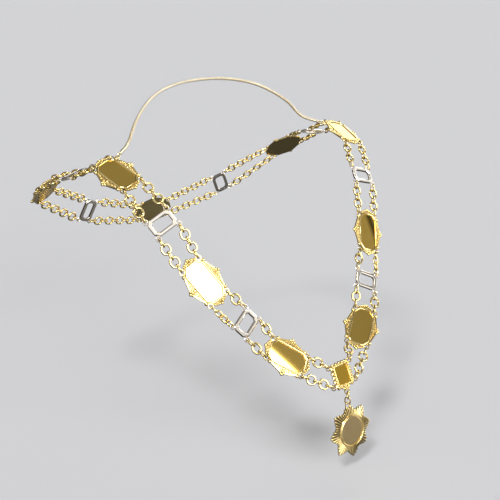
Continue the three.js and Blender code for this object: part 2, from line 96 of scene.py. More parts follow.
def joined(parts):
    starts = np.cumsum([0] + [len(p["co"]) for p in parts[:-1]])
    return {
        "co": np.concatenate([p["co"] for p in parts]),
        "quads": np.concatenate([p["quads"] + s for p, s in zip(parts, starts)]),
        "tris": np.concatenate([p["tris"] + s for p, s in zip(parts, starts)]),
        "tone": np.concatenate([p["tone"] for p in parts]),
    }


def moved(p, place):
    return {**p, "co": onSeat(p["co"], place)}


def disc(sides, wide, high):  # an ellipse as a profile
    t = np.arange(sides) * 2 * np.pi / sides
    return np.stack([wide * np.cos(t), high * np.sin(t)], -1)


def circle(sides, radius, z=0.0):  # a level ring of points
    return lifted(disc(sides, radius, radius), z)


# A profile carried round a closed path: path + across * profile x + lift * profile y, where across is square
# to the path and to the plane's own up, and lift is square to both
def sweep(path, profile, tone=0.0):
    tangent = unit(np.roll(path, -1, 0) - np.roll(path, 1, 0))
    across = unit(np.cross(tangent, (0, 0, 1)))
    lift = np.cross(across, tangent)
    co = path[:, None] + across[:, None] * profile[:, :1] + lift[:, None] * profile[:, 1:]
    return part(co, gridQuads(len(path), len(profile), True), tone=tone)


# Round beads: centre + radius * (sin a cos b, sin a sin b, flat * cos a)
def beads(spots, rows=7, cols=12, flat=0.85, tone=0.0):
    spots = np.asarray(spots, float)
    a = np.linspace(0, np.pi, rows + 1)[1:-1]
    b = np.arange(cols) * 2 * np.pi / cols
    belt = np.stack(np.broadcast_arrays(
        np.sin(a)[:, None] * np.cos(b), np.sin(a)[:, None] * np.sin(b), flat * np.cos(a)[:, None]), -1)
    ball = np.concatenate([belt.reshape(-1, 3), [[0, 0, flat], [0, 0, -flat]]])
    co = spots[:, None, :3] + spots[:, None, 3:] * ball
    shift = np.arange(len(spots))[:, None, None] * len(ball)
    quads = gridQuads(rows - 1, cols, False) + shift
    tris = endFans(rows - 1, cols) + shift
    return part(co, quads.reshape(-1, 4), tris.reshape(-1, 3), tone)


eyeTone, castTone, satinBack = 0.1, 0.3, 0.5  # on ring eyes, cast relief and unpolished backs


# A slab under a height: rings of the outline drawn in towards the middle, a wall and a flat back
def slabPart(outline, heightAt, back, rings, tone=0.0):
    outline, rings = np.asarray(outline, float), np.asarray(rings, float)
    m = len(outline)
    flat = outline[None] * rings[:, None, None]
    top = np.concatenate([flat, heightAt(flat[..., 0], flat[..., 1])[..., None]], -1)
    low = np.concatenate([outline, np.full((m, 1), back)], -1)
    middle = heightAt(np.zeros(1), np.zeros(1))[0]
    co = np.concatenate([top.reshape(-1, 3), low, [[0, 0, middle], [0, 0, back]]])
    tone = np.concatenate([np.full(top.size // 3, tone), np.full(m, satinBack), [tone, satinBack]])
    rows = len(rings) + 1
    return part(co, gridQuads(rows, m, False), endFans(rows, m), tone)


def eightSided(u, v, cutU, cutV):
    return np.array([
        [u, -v + cutV], [u, v - cutV], [u - cutU, v], [-u + cutU, v],
        [-u, v - cutV], [-u, -v + cutV], [-u + cutU, -v], [u - cutU, -v]], float)


def fourfold(quarter):  # a quarter of an outline, from the u axis to the v axis, mirrored to all four
    q = np.asarray(quarter, float)
    half = np.concatenate([q, q[::-1] * [-1, 1]])
    return np.concatenate([half, half[::-1] * [1, -1]])


def evenly(points, step):  # points about a step apart round straight sides, corners kept
    sides = []
    for a, b in zip(points, np.roll(points, -1, 0)):
        n = max(1, int(round(np.linalg.norm(b - a) / step)))
        sides.append(a + (b - a) * (np.arange(n) / n)[:, None])
    return np.concatenate(sides)


def lifted(flat, z):  # plane points at a height
    flat = np.asarray(flat, float)
    return np.concatenate([flat, np.broadcast_to(z, len(flat))[:, None]], -1)


# A cast eye: an oval section carried round a circle
def eyeRing(u, v, radius, hole, thick, around=28, sides=10):
    path = circle(around, (radius + hole) / 2) + [u, v, 0]
    return sweep(path, disc(sides, (radius - hole) / 2, thick / 2), eyeTone)


# Cast relief: at each point the highest of the strokes and bosses, each rise * 2 cos^2 of the distance
# from its line or middle, nothing at its half width and cut off flat at the full rise
def relief(points, strokes, bosses):
    high = np.zeros(points.shape[:-1])
    for line, half, rise in strokes:
        away = np.linalg.norm(points[..., None, :] - line, axis=-1).min(-1) / half
        high = np.maximum(high, rise * bank(away))
    for u, v, half, rise in bosses:
        high = np.maximum(high, rise * bank(np.hypot(points[..., 0] - u, points[..., 1] - v) / half))
    return high


def bank(away):  # from 1 on the flat top down to 0 at the half width
    return np.clip(2 * np.cos(np.pi / 2 * np.clip(away, 0, 1)) ** 2, 0, 1)


strokeSteps = 60  # points along a stroke of relief


# Spiral stroke: the radius falls to about half while the angle runs through the turns
def spiral(u, v, radius, start, turns, shrink=0.45):
    t = np.linspace(0, 1, strokeSteps)
    r, a = radius * (1 - shrink * t), math.radians(start) + turns * 2 * np.pi * t
    return np.stack([u + r * np.cos(a), v + r * np.sin(a)], -1)


pitShadeFade = {"clear": 0.42, "over": 0.35}  # relief this high is clear of the painted shade, which fades in below


# Border: straight lines from an inner loop out to the outline, on a base that falls away from the panel
# and is raised by a relief, with walls and a flat back, and shade painted on the low ground between the
# relief
def borderPart(inner, outline, across, baseAt, back, rise, pitShade):
    inner, outline = np.asarray(inner, float), np.asarray(outline, float)
    t = np.linspace(0, 1, across)[:, None, None]
    flat = inner * (1 - t) + outline * t
    high = rise(flat)
    top = np.concatenate([flat, (baseAt(flat) + high)[..., None]], -1)
    co = np.concatenate([lifted(inner, back)[None], top, lifted(outline, back)[None]])
    n = len(inner)
    # painted shade: the tone darkens towards the shade colour where the relief is low
    pitShadeTone = castTone + np.clip((pitShadeFade["clear"] - high) / pitShadeFade["over"], 0, 1) * pitShade
    tone = np.concatenate([np.full(n, satinBack), pitShadeTone.ravel(), np.full(n, satinBack)])
    return part(co, gridQuads(across + 2, n, True), tone=tone)


def falling(half, face, fall):  # a face that falls away evenly outside a rectangle
    return lambda flat: face - fall * np.maximum(np.max(np.abs(flat) - half, -1), 0)


# A low crown over a panel: half is lost at the ends and half at the sides, by the square of the distance
def crowned(half, face, crown):
    return lambda u, v: face + crown * (1 - 0.5 * (u / half[0]) ** 2 - 0.5 * (v / half[1]) ** 2)


def spread(points, count):  # evenly along a line of points, half a step in from both ends
    points = np.asarray(points, float)
    run = np.concatenate([[0], np.cumsum(np.linalg.norm(np.diff(points, axis=0), axis=1))])
    at = (np.arange(count) + 0.5) / count * run[-1]
    return np.stack([np.interp(at, run, points[:, i]) for i in range(2)], -1)


# Finishes


polishLook = {
    "smudgeDetail": 4,
    "smudgeRoughness": 0.6,
    "lineStretch": (9, 1.3, 4),
    "lineTurn": (0.4, 0.2, 0.7),
    "lineScale": 1500,
    "lineDetail": 2,
}


def handPolish():  # smudges and fine polishing lines, shared by every metal
    group = bpy.data.node_groups.new("handPolish", "ShaderNodeTree")
    sockets = [
        ("INPUT", "Vector", "Vector"), ("INPUT", "Size", "Float"), ("INPUT", "Lines", "Float"),
        ("OUTPUT", "Smudge", "Float"), ("OUTPUT", "Height", "Float")]
    for way, name, kind in sockets:
        group.interface.new_socket(name, in_out=way, socket_type="NodeSocket" + kind)
    add, link = group.nodes.new, group.links.new
    inn, out = add("NodeGroupInput"), add("NodeGroupOutput")
    smudge = add("ShaderNodeTexNoise")
    smudge.inputs["Detail"].default_value = polishLook["smudgeDetail"]
    smudge.inputs["Roughness"].default_value = polishLook["smudgeRoughness"]
    link(inn.outputs["Vector"], smudge.inputs["Vector"])
    link(inn.outputs["Size"], smudge.inputs["Scale"])
    stretch = add("ShaderNodeMapping")
    stretch.inputs["Scale"].default_value = polishLook["lineStretch"]
    stretch.inputs["Rotation"].default_value = polishLook["lineTurn"]
    link(inn.outputs["Vector"], stretch.inputs["Vector"])
    lines = add("ShaderNodeTexNoise")
    lines.inputs["Scale"].default_value = polishLook["lineScale"]
    lines.inputs["Detail"].default_value = polishLook["lineDetail"]
    link(stretch.outputs["Vector"], lines.inputs["Vector"])
    times = add("ShaderNodeMath")
    times.operation = "MULTIPLY"
    link(lines.outputs["Fac"], times.inputs[0])
    link(inn.outputs["Lines"], times.inputs[1])
    link(smudge.outputs["Fac"], out.inputs["Smudge"])
    link(times.outputs["Value"], out.inputs["Height"])
    return group


polishGroup = handPolish()
brightStops = (0.5, 0.78)  # stops of the colour ramp between which metal is bright: tones 0 and 0.56
smudgeRange = (0.3, 0.7)  # of the noise, from clean to smudged
bumpDepth = 0.0002


def metal(name, look):
    made = bpy.data.materials.new(name)
    made.use_nodes = True
    nodes, link = made.node_tree.nodes, made.node_tree.links.new
    bsdf = nodes["Principled BSDF"]
    bsdf.inputs["Metallic"].default_value = 1.0
    where = nodes.new("ShaderNodeTexCoord")
    polish = nodes.new("ShaderNodeGroup")
    polish.node_tree = polishGroup
    polish.inputs["Size"].default_value = look["smudgeSize"]
    polish.inputs["Lines"].default_value = look["lines"]
    link(where.outputs["Object"], polish.inputs["Vector"])
    tone = nodes.new("ShaderNodeAttribute")
    tone.attribute_name = "tone"
    # colour: rich, bright and painted shade metal along the tone, then a little deeper with the smudges
    along = nodes.new("ShaderNodeMapRange")
    along.inputs["From Min"].default_value = -1.0
    link(tone.outputs["Fac"], along.inputs["Value"])
    shades = nodes.new("ShaderNodeValToRGB")
    shades.color_ramp.elements[0].color = (*look["rich"], 1)
    shades.color_ramp.elements[1].color = (*look["shadeColour"], 1)
    for stop in brightStops:
        shades.color_ramp.elements.new(stop).color = (*look["bright"], 1)
    link(along.outputs["Result"], shades.inputs["Fac"])
    cloud = nodes.new("ShaderNodeMapRange")
    cloud.inputs["From Min"].default_value = smudgeRange[0]
    cloud.inputs["From Max"].default_value = smudgeRange[1]
    cloud.inputs["To Max"].default_value = look["cloud"]
    link(polish.outputs["Smudge"], cloud.inputs["Value"])
    tint = nodes.new("ShaderNodeMix")
    tint.data_type = "RGBA"
    tint.blend_type = "MULTIPLY"
    tint.inputs["B"].default_value = (*look["deep"], 1)
    link(cloud.outputs["Result"], tint.inputs["Factor"])
    link(shades.outputs["Color"], tint.inputs["A"])
    link(tint.outputs["Result"], bsdf.inputs["Base Color"])
    # roughness: from the polished faces to the recesses, and up a little where smudged
    rough = nodes.new("ShaderNodeMapRange")
    rough.inputs["To Min"].default_value = look["rough"][0]
    rough.inputs["To Max"].default_value = look["rough"][1]
    link(tone.outputs["Fac"], rough.inputs["Value"])
    veil = nodes.new("ShaderNodeMath")
    veil.operation = "MULTIPLY_ADD"
    veil.inputs[1].default_value = look["veil"]
    link(polish.outputs["Smudge"], veil.inputs[0])
    link(rough.outputs["Result"], veil.inputs[2])
    link(veil.outputs["Value"], bsdf.inputs["Roughness"])
    bump = nodes.new("ShaderNodeBump")
    bump.inputs["Strength"].default_value = look["bump"]
    bump.inputs["Distance"].default_value = bumpDepth
    link(polish.outputs["Height"], bump.inputs["Height"])
    link(bump.outputs["Normal"], bsdf.inputs["Normal"])
    return made


# rich, bright and the painted shade colour lie at tones -1, 0 and 1; deep is the colour that smudges
# multiply by
mostMetal = {"cloud": 0.6, "veil": 0.08, "smudgeSize": 70, "lines": 0.5, "bump": 0.02}
goldLook = {
    **mostMetal,
    "rich": (0.92, 0.585, 0.085),
    "bright": (0.74, 0.60, 0.285),
    "shadeColour": (0.10, 0.05, 0.012),
    "deep": (0.92, 0.86, 0.70),
    "rough": (0.035, 0.40),
    "veil": 0.03,
    "smudgeSize": 60,
    "bump": 0.001,
}
silverLook = {
    **mostMetal,
    "rich": (0.90, 0.84, 0.75),
    "bright": (0.95, 0.89, 0.80),
    "shadeColour": (0.30, 0.24, 0.18),
    "deep": (0.90, 0.85, 0.79),
    "rough": (0.05, 0.18),
    "bump": 0.05,
}
# star gold: its near-black shade colour is painted shade in the grooves and down the rib flanks
starShadeLook = {
    **mostMetal,
    "rich": (0.74, 0.52, 0.14),
    "bright": (0.76, 0.61, 0.29),
    "shadeColour": (0.035, 0.018, 0.006),
    "deep": (0.86, 0.80, 0.66),
    "rough": (0.10, 0.40),
}
satinLook = {
    "rich": (0.66, 0.50, 0.24),
    "bright": (0.56, 0.42, 0.21),
    "shadeColour": (0.22, 0.14, 0.05),
    "deep": (0.88, 0.85, 0.80),
    "cloud": 0.5,
    "rough": (0.20, 0.45),
    "veil": 0.10,
    "smudgeSize": 90,
    "lines": 1.0,
    "bump": 0.12,
}
paleLook = {
    **mostMetal,
    "rich": (0.90, 0.78, 0.52),
    "bright": (0.88, 0.79, 0.57),
    "shadeColour": (0.30, 0.22, 0.12),
    "deep": (0.90, 0.85, 0.76),
    "rough": (0.12, 0.40),
}
gold = metal("polishedGold", goldLook)
silver = metal("whiteMetal", silverLook)
starShadeGold = metal("starGoldPaintedShade", starShadeLook)
satin = metal("satinGold", satinLook)
pale = metal("paleGold", paleLook)
print("finishes made")


crease = {"cast": 38, "frame": 20, "wire": 80}  # degrees past which an edge is shaded sharp


def makePiece(name, parts, place, finish, body, nodes, sharp=crease["cast"]):
    p = joined(parts)
    if place is not None:
        p = moved(p, place)
    mesh = bpy.data.meshes.new(name)
    q, t = len(p["quads"]), len(p["tris"])
    mesh.vertices.add(len(p["co"]))
    mesh.vertices.foreach_set("co", (p["co"] * mm).ravel())
    mesh.loops.add(4 * q + 3 * t)
    corners = np.concatenate([p["quads"].ravel(), p["tris"].ravel()])
    mesh.loops.foreach_set("vertex_index", corners)
    mesh.polygons.add(q + t)
    starts = np.concatenate([np.arange(q) * 4, 4 * q + np.arange(t) * 3])
    mesh.polygons.foreach_set("loop_start", starts)
    mesh.update(calc_edges=True)
    mesh.validate()
    tone = mesh.attributes.new("tone", "FLOAT", "POINT")
    tone.data.foreach_set("value", p["tone"].astype(np.float32))
    mesh.polygons.foreach_set("use_smooth", np.ones(len(mesh.polygons), bool))
    mesh.set_sharp_from_angle(angle=math.radians(sharp))
    mesh.materials.append(finish)
    made = bpy.data.objects.new(name, mesh)
    bpy.context.scene.collection.objects.link(made)
    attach(made, body)
    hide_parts(*nodes)


# Plaque: an eight-sided panel in a rail, with scroll wings, crests, corner knobs and eyes

neckEye = {"at": (-16.4, 14.6), "ring": (2.4, 1.4, 1.2)}  # a fifth, on the two top plaques alone
plaque = {
    "eye": (19, 9.6),
    "eyeRing": (2.9, 1.8, 1.2),  # outer radius, hole, thickness
    "back": -0.6,
    "face": 0.85,
    "fall": 0.2,
    # how far painted shade darkens the low ground between the relief
    "pitShade": 0.5,
    "panel": (19.9, 10.6, 5.8, 4.9),  # half length and width over the rail, corner cuts
    "panelCut": (0.55, 0.5),  # the cuts shrink by these shares of the rail's width inside it
    "panelFace": 0.85,
    "panelCrown": 0.45,
    "panelTone": -0.7,
    "railCut": (0.28, 0.25),  # and by these at its middle
    "railWidth": 1.5,
    "railTop": 2.0,
    "knob": (15, 11.7, 1.7),
    "knobLift": 0.2,
    "beadLift": 0.5,
    # outline of one quarter in three stretches, with the points for each: end crest, eye, wing
    "crestEdge": [(23.9, 0.0), (23.5, 1.9), (22.7, 3.2), (22.3, 4.9), (21.0, 6.9)],
    "eyeEdge": [(21.0, 6.9), (17.9, 8.2), (16.6, 9.8), (15.4, 11.7)],
    "wingEdge": [(15.4, 11.7), (2.4, 15.9), (1.3, 17.0), (0.0, 17.1)],
    "counts": (40, 14, 90),
    "across": 30,
    "panelFaces": 1.2,
    "panelRings": 10,
    # strokes of one quarter: middle u, v, radius, start angle, turns, half width, rise
    "spirals": [
        (3.3, 12.3, 1.3, 160, -0.95, 0.6, 0.75),
        (6.9, 11.75, 0.95, 20, 0.95, 0.52, 0.7),
        (21.75, 2.75, 1.0, 250, 0.95, 0.56, 0.7)],
    "wingRail": [(15.0, 11.1), (1.2, 15.5), 1.25, 0.85],
    # bosses of one quarter: u, v, half width, rise
    "bosses": [
        (0.0, 11.6, 1.3, 0.75), (0.0, 13.7, 1.1, 0.75), (1.5, 14.3, 0.8, 0.7), (5.1, 12.7, 0.7, 0.6),
        (9.2, 11.35, 0.9, 0.65), (11.2, 11.1, 0.7, 0.55), (21.0, 5.6, 1.3, 0.7), (21.2, 0.0, 1.3, 0.75),
        (19.0, 9.6, 4.2, 0.4)],
    # beads of one quarter: u, v, radius
    "beads": [
        (0.0, 16.7, 1.5), (2.05, 15.5, 1.3), (0.0, 14.4, 1.0), (23.9, 0.0, 1.5),
        (22.9, 2.2, 1.2), (22.3, 4.3, 1.0), (21.4, 6.1, 0.85)],
}


def fourBeads(rows, baseAt, lift):  # a quarter's beads in all four, without doubles on the axes
    return sorted({
        (round(a * u, 3) + 0.0, round(b * v, 3) + 0.0, float(baseAt(np.array([u, v]))) + lift, r)
        for u, v, r in rows for a, b in signs})


def plaqueParts(shape):
    u0, v0, cutU, cutV = shape["panel"]
    w, back = shape["railWidth"], shape["back"]
    # border: wings and crests with scrolls, worked out for one quarter and folded into the others
    strokes = [(spiral(*s[:5]), s[5], s[6]) for s in shape["spirals"]]
    start, end, half, rise = shape["wingRail"]
    strokes.append((spread([start, end], strokeSteps), half, rise))
    edges = [shape["crestEdge"], shape["eyeEdge"], shape["wingEdge"]]
    corners = [(u0, 0), (u0, v0 - cutV), (u0 - cutU, v0), (0, v0)]
    sides = [corners[k:k + 2] for k in range(3)]
    outline = fourfold(np.concatenate([spread(e, n) for e, n in zip(edges, shape["counts"])]))
    inner = fourfold(np.concatenate([spread(e, n) for e, n in zip(sides, shape["counts"])]))
    rise = lambda flat: relief(np.abs(flat), strokes, shape["bosses"])
    baseAt = falling((u0, v0), shape["face"], shape["fall"])
    parts = [borderPart(inner, outline, shape["across"], baseAt, back, rise, shape["pitShade"])]
    # panel: a slab with a low crown, inside a half-round rail
    crown = crowned((u0, v0), shape["panelFace"], shape["panelCrown"])
    less, more = np.array(shape["panelCut"]) * w, np.array(shape["railCut"]) * w
    panel = eightSided(u0 - w, v0 - w, cutU - less[0], cutV - less[1])
    rings = np.linspace(0.1, 1, shape["panelRings"])
    parts.append(slabPart(evenly(panel, shape["panelFaces"]), crown, back, rings, shape["panelTone"]))
    rail = eightSided(u0 - w / 2, v0 - w / 2, cutU - more[0], cutV - more[1])
    parts.append(mitred(rail, railSection(w, back, shape["railTop"])))
    for a, b in signs:
        parts.append(eyeRing(a * shape["eye"][0], b * shape["eye"][1], *shape["eyeRing"]))
    parts.append(beads(fourBeads(shape["beads"], baseAt, shape["beadLift"])))
    parts.append(beads(fourBeads([shape["knob"]], baseAt, shape["knobLift"]), rows=9, cols=16))
    return parts


# A rail's section: upright sides under half an ellipse
def railSection(wide, low, top, archShare=0.42, steps=9):
    side, arch = wide / 2, archShare * wide
    t = np.linspace(0, np.pi, steps)
    dome = np.stack([side * np.cos(t), top - arch + arch * np.sin(t)], -1)
    return np.concatenate([[(side, low)], dome, [(-side, low)]])


# A section carried round a cornered way, each corner mitred: the way's corners move in and out along
# the halved angle by the section's first number, and up by its second
def mitred(corners, section, tone=0.0):
    corners = np.asarray(corners, float)
    ahead = unit(np.roll(corners, -1, 0) - corners)
    out = np.stack([ahead[:, 1], -ahead[:, 0]], -1)
    before = np.roll(out, 1, 0)
    corner = (out + before) / (1 + np.sum(out * before, -1, keepdims=True))
    flat = corners[:, None] + corner[:, None] * section[None, :, :1]
    high = np.broadcast_to(section[None, :, 1:], (*flat.shape[:2], 1))
    co = np.concatenate([flat, high], -1)
    return part(co, gridQuads(len(corners), len(section), True), tone=tone)


# Frame: a bevelled bar round an open window, with an eye at each corner

window = {
    "outer": (8.4, 12.2, 4.0),
    "bar": 3.3,
    "back": -1.2,
    "shoulder": 1.1,
    "flat": (1.7, 1.3),  # height and width of the flat top between the bevels
    "edge": 0.12,
    # tone of the painted shade down the bevels and walls
    "bevelShade": 0.8,
    "eye": (8.7, 11.5),
    "eyeRing": (2.75, 1.75, 1.2),
}


def windowParts(shape):
    u, v, cut = shape["outer"]
    bar, back, shoulder = shape["bar"], shape["back"], shape["shoulder"]
    top, flat = shape["flat"]
    edge = shape["edge"]
    section = np.array([
        (-edge, back), (0, back + edge), (0, shoulder - edge), (-edge, shoulder),
        (-bar / 2 + flat / 2, top), (-bar / 2 - flat / 2, top),
        (-bar + edge, shoulder), (-bar, shoulder - edge), (-bar, back + edge), (-bar + edge, back)])
    # tone: bright on the flat top, painted shade down the bevels and walls, satin on the back
    tone = np.where(section[:, 1] == top, 0.0, shape["bevelShade"])
    tone = np.where(section[:, 1] == back, satinBack, tone)
    corners = eightSided(u, v, cut, cut)
    parts = [mitred(corners, section, np.tile(tone, len(corners)))]
    eu, ev = shape["eye"]
    return parts + [eyeRing(a * eu, b * ev, *shape["eyeRing"]) for a, b in signs]


# Links: an oval way with round wire

oblong = {"length": 9.2, "width": 5.8, "wire": 1.55}
ring = {"length": 10.2, "width": 10.2, "wire": 2.05}
linkFaces = {"around": 24, "wireSides": 8}
linkBite = 0.16  # how deep the links of a run sink into each other
linkGap = 0.3  # between a link's wire and the eye's hole that it holds


# Way of a link: half length and half width times cosine and sine, each raised to a power that makes
# an oval one a little square
def linkPart(length, width, wire, place, around, wireSides, inside=0.0, square=0.82):
    t = np.arange(around) * 2 * np.pi / around
    power = 1.0 if length == width else square
    c, s = np.cos(t), np.sin(t)
    x = (length - wire) / 2 * np.sign(c) * np.abs(c) ** power
    y = (width - wire) / 2 * np.sign(s) * np.abs(s) ** power
    way = np.stack([x, y, np.zeros(around)], -1)
    section = disc(wireSides, wire / 2, wire / 2)
    tone = inside * np.clip(-section[:, 0] / (wire / 2), 0, 1)  # painted shade: darker on the inner side of the wire
    return moved(sweep(way, section, np.tile(tone, around)), place)


def linkKinds(count):  # oblong and round by turns, oblong at both ends
    kinds = [oblong if (count - 1 - k) % 2 == 0 else ring for k in range(count)]
    return [oblong, *kinds[1:]]


# How far a wire lies behind the middle of the wall that it holds; the solid's hole has this many flat sides
def holdOf(radius, hole, wire, sides):
    return (radius + hole) / 2 - (hole * math.cos(math.pi / sides) - linkGap - wire / 2)


eyeSides, roundEyeSides = 5, 8
eyeRadius, eyeHole = plaque["eyeRing"][:2]
eyeWall = (eyeRadius + eyeHole) / 2
linkHold = holdOf(eyeRadius, eyeHole, oblong["wire"], eyeSides)


def runParts(start, end, upStart, upEnd, count):
    first = start + squareTo(end - start, upStart) * eyeWall
    last = end + squareTo(start - end, upEnd) * eyeWall
    along = unit(last - first)
    first, last = first - along * linkHold, last + along * linkHold
    kinds = linkKinds(count)
    laps = [(a["wire"] + b["wire"]) / 2 - linkBite for a, b in zip(kinds, kinds[1:])]
    spans = np.array([k["length"] - k["wire"] for k in kinds])
    spans = spans * (np.linalg.norm(last - first) + sum(laps)) / spans.sum()
    starts = np.concatenate([[0], np.cumsum(spans[:-1] - np.array(laps))])
    halfTurns = math.ceil((count + 1) / 2)  # from eye to eye, so about a quarter turn from link to link
    made = []
    for k, kind in enumerate(kinds):
        facing = squareTo(upStart + (upEnd - upStart) * k / max(1, count - 1), along)
        normal = turned(facing, along, (k + 1) * math.pi * halfTurns / (count + 1))
        place = seat(along, normal, first + along * (starts[k] + spans[k] / 2))
        length = spans[k] + kind["wire"]
        made.append(linkPart(length, kind["width"], kind["wire"], place, **linkFaces))
    return made


# The lie of the chain: plates of one side, from the middle of the back over the top to the front

frontFacing = unit((0, -0.75, 0.66))
backRows = [
    {"kind": "frame", "at": (90, 124, -92), "facing": (-0.25, 0.93, 0.26)},
    {"kind": "plaque", "at": (155, 83, -49), "facing": (-0.35, 0.65, 0.68)},
    {"kind": "frame", "at": (150, 28, -22), "facing": (-0.25, 0.45, 0.86)},
]
frontRows = [
    {"kind": "plaque", "at": (139, -30, -12), "lean": (14, 2), "along": (0.18, -0.92, -0.33)},
    {"kind": "frame", "at": (124, -75, -48), "lean": (16, 4)},
    {"kind": "plaque", "at": (103, -105, -98), "lean": (20, 0)},
    {"kind": "frame", "at": (77, -130, -136), "lean": (6, 2)},
    {"kind": "plaque", "at": (48, -152, -170), "lean": (10, -22)},
]
frontLinks = [(5, 5), (5, 5), (4, 3), (3, 3), (5, 3)]  # outer, inner
backLinks = [5, 5, 9, 9]
backMiddle = {"at": np.array([0.0, 136, -112]), "facing": (0, 0.97, 0.24)}
centre = {
    "at": (0, -174.6, -195),
    "lean": 27.5,
    "topEye": (13.6, 10.2),
    "lowEye": (14.2, -8.2),
    "dropEye": (0, -15.6, 3.3, 2.3),
    "panel": (7.6, 8.1),
    "half": 12.1,
}
dropThick = 1.2  # of the round eyes that the drop links hold
flip = np.array([-1.0, 1, 1])


def placePlate(row, before, after, side):
    at = np.array(row["at"], float) * flip
    along = row.get("along")
    along = unit(along) if along else unit(unit(at - before) + unit(after - at))
    up = squareTo(unit(row.get("facing", frontFacing)), along)
    lean = row.get("lean", (0, 0))[0 if side < 0 else 1]
    up = turned(up, along, math.radians(lean))
    mirror = np.array([-side, 1.0, 1.0])
    return {**seat(along * mirror, up * mirror, at * mirror), "kind": row["kind"], "side": side}


def eyeEnd(plate, end, inner):  # an eye's middle and the way that its plate faces
    u, v = plaque["eye"] if plate["kind"] == "plaque" else window["eye"]
    v *= -plate["side"] if inner else plate["side"]
    return onSeat((end * u, v, 0), plate), plate["axes"][2]


def makeRun(where, number, row, near, far, count):  # near and far are ends as eyeEnd gives them
    run = runParts(near[0], far[0], near[1], far[1], count)
    name, node = f"links_{where}_{number}_{row}", f"{where}_run_{number}_{row}"
    makePiece(name, run, None, gold, "chain", [node], crease["wire"])


centreTilt = math.radians(centre["lean"])
centreSeat = seat((1, 0, 0), (0, -math.cos(centreTilt), math.sin(centreTilt)), centre["at"])
acrossBack = (-1, 0, 0)
backUp = squareTo(backMiddle["facing"], acrossBack)
backSeat = seat(acrossBack, backUp, backMiddle["at"])

plateLooks = {
    "plaque": {"word": "scroll_plaque", "parts": plaqueParts(plaque), "finish": gold, "edges": "cast"},
    "frame": {"word": "window_frame", "parts": windowParts(window), "finish": silver, "edges": "frame"},
}
backParts = plateLooks["plaque"]["parts"]
makePiece("scroll_plaque_back", backParts, backSeat, gold, "chain", ["back_plaque"])
topPlates = {}
for word, side in [("right", -1), ("left", 1)]:
    behind = f"back_{word}"
    rows = backRows + frontRows
    middles = [np.array(r["at"], float) * flip for r in rows]
    middles = [backMiddle["at"], *middles, np.array(centre["at"], float)]
    plates = [placePlate(r, middles[k], middles[k + 2], side) for k, r in enumerate(rows)]
    top = len(backRows)
    topPlates[side] = plates[top]
    for k, plate in enumerate(plates):
        where = behind if k < top else word
        number = math.ceil((top - k) / 2) if k < top else (k - top) // 2 + 1
        look = plateLooks[plate["kind"]]
        parts = look["parts"]
        if k == top:
            parts = parts + [eyeRing(neckEye["at"][0], -side * neckEye["at"][1], *neckEye["ring"])]
        name, node = f"{look['word']}_{where}_{number}", f"{where}_{plate['kind']}_{number}"
        makePiece(name, parts, plate, look["finish"], "chain", [node], crease[look["edges"]])
    for row, inner in [("outer", False), ("inner", True)]:
        for k in range(top):
            near, far = eyeEnd(plates[top - k], -1, inner), eyeEnd(plates[top - k - 1], 1, inner)
            makeRun(behind, k + 1, row, near, far, backLinks[k])
        # the back plaque's eyes on this side, the lower one outer and the upper one inner
        eyes = [onSeat((a * plaque["eye"][0], b * plaque["eye"][1], 0), backSeat) for a, b in signs]
        eyes = sorted((e for e in eyes if np.sign(e[0]) == side), key=lambda e: e[2])
        near, far = eyeEnd(plates[0], -1, inner), (eyes[-1 if inner else 0], backSeat["axes"][2])
        makeRun(behind, top + 1, row, near, far, backLinks[top])
        for k, counts in enumerate(frontLinks):
            if k + 1 < len(frontRows):
                far = eyeEnd(plates[top + k + 1], -1, inner)
            else:
                u, v = centre["topEye"] if inner else centre["lowEye"]
                far = onSeat((side * u, v, 0), centreSeat), centreSeat["axes"][2]
            near = eyeEnd(plates[top + k], 1, inner)
            makeRun(word, k + 1, row, near, far, counts[1 if inner else 0])
print("plaques, frames and links made")


# Centre link: a square panel in a rail, gadroon beads on a border with a lobed edge, and a crest below

centreLook = {
    "face": 0.9,
    "fall": 0.2,
    "back": -0.6,
    # how far painted shade darkens the low ground between the relief
    "pitShade": 0.6,
    "panelFace": 0.75,
    "panelCrown": 0.2,
    "panelCut": 0.8,
    "panelFaces": 0.8,
    "panelRings": 8,
    "panelTone": -1.0,
    "railWidth": 0.9,
    "railTop": 1.5,
    "railCut": 0.3,  # share of the rail's width that its corner cut is longer by
    "railTone": -0.3,
    "gadroon": (9.4, 1.2, (0.0, 2.5, 5.0, 7.3)),  # how far out, radius, places along a side
    "gadroonCorner": 9.3,
    "gadroonLift": 0.3,
    "gadroonTone": -0.15,
    "lobes": (20, 0.85),  # number and depth
    "inset": 0.3,  # of the lobes' middle from the edge
    "inner": 8.2,  # half width of the border's inner loop
    "squares": (7, 24),  # powers that round the corners of the outline and of the inner loop
    "around": 256,
    "across": 14,
    # the border's bosses for an eighth: out, along, half width, rise
    "bosses": [
        (11.5, 0.0, 1.9, 0.95), (11.4, 3.9, 1.8, 0.95), (11.0, 8.2, 1.8, 0.95), (10.7, 10.7, 1.8, 0.95)],
    "foot": [(4.4, -11.2), (4.7, -12.3), (2.4, -13.5), (2.0, -14.6)],
    "footDrop": 0.4,
    "footFaces": 0.6,
    "footBeads": [(0, -13.0, 1.35), (2.35, -12.6, 1.2), (4.0, -12.0, 1.0), (1.5, -14.3, 0.85)],
}


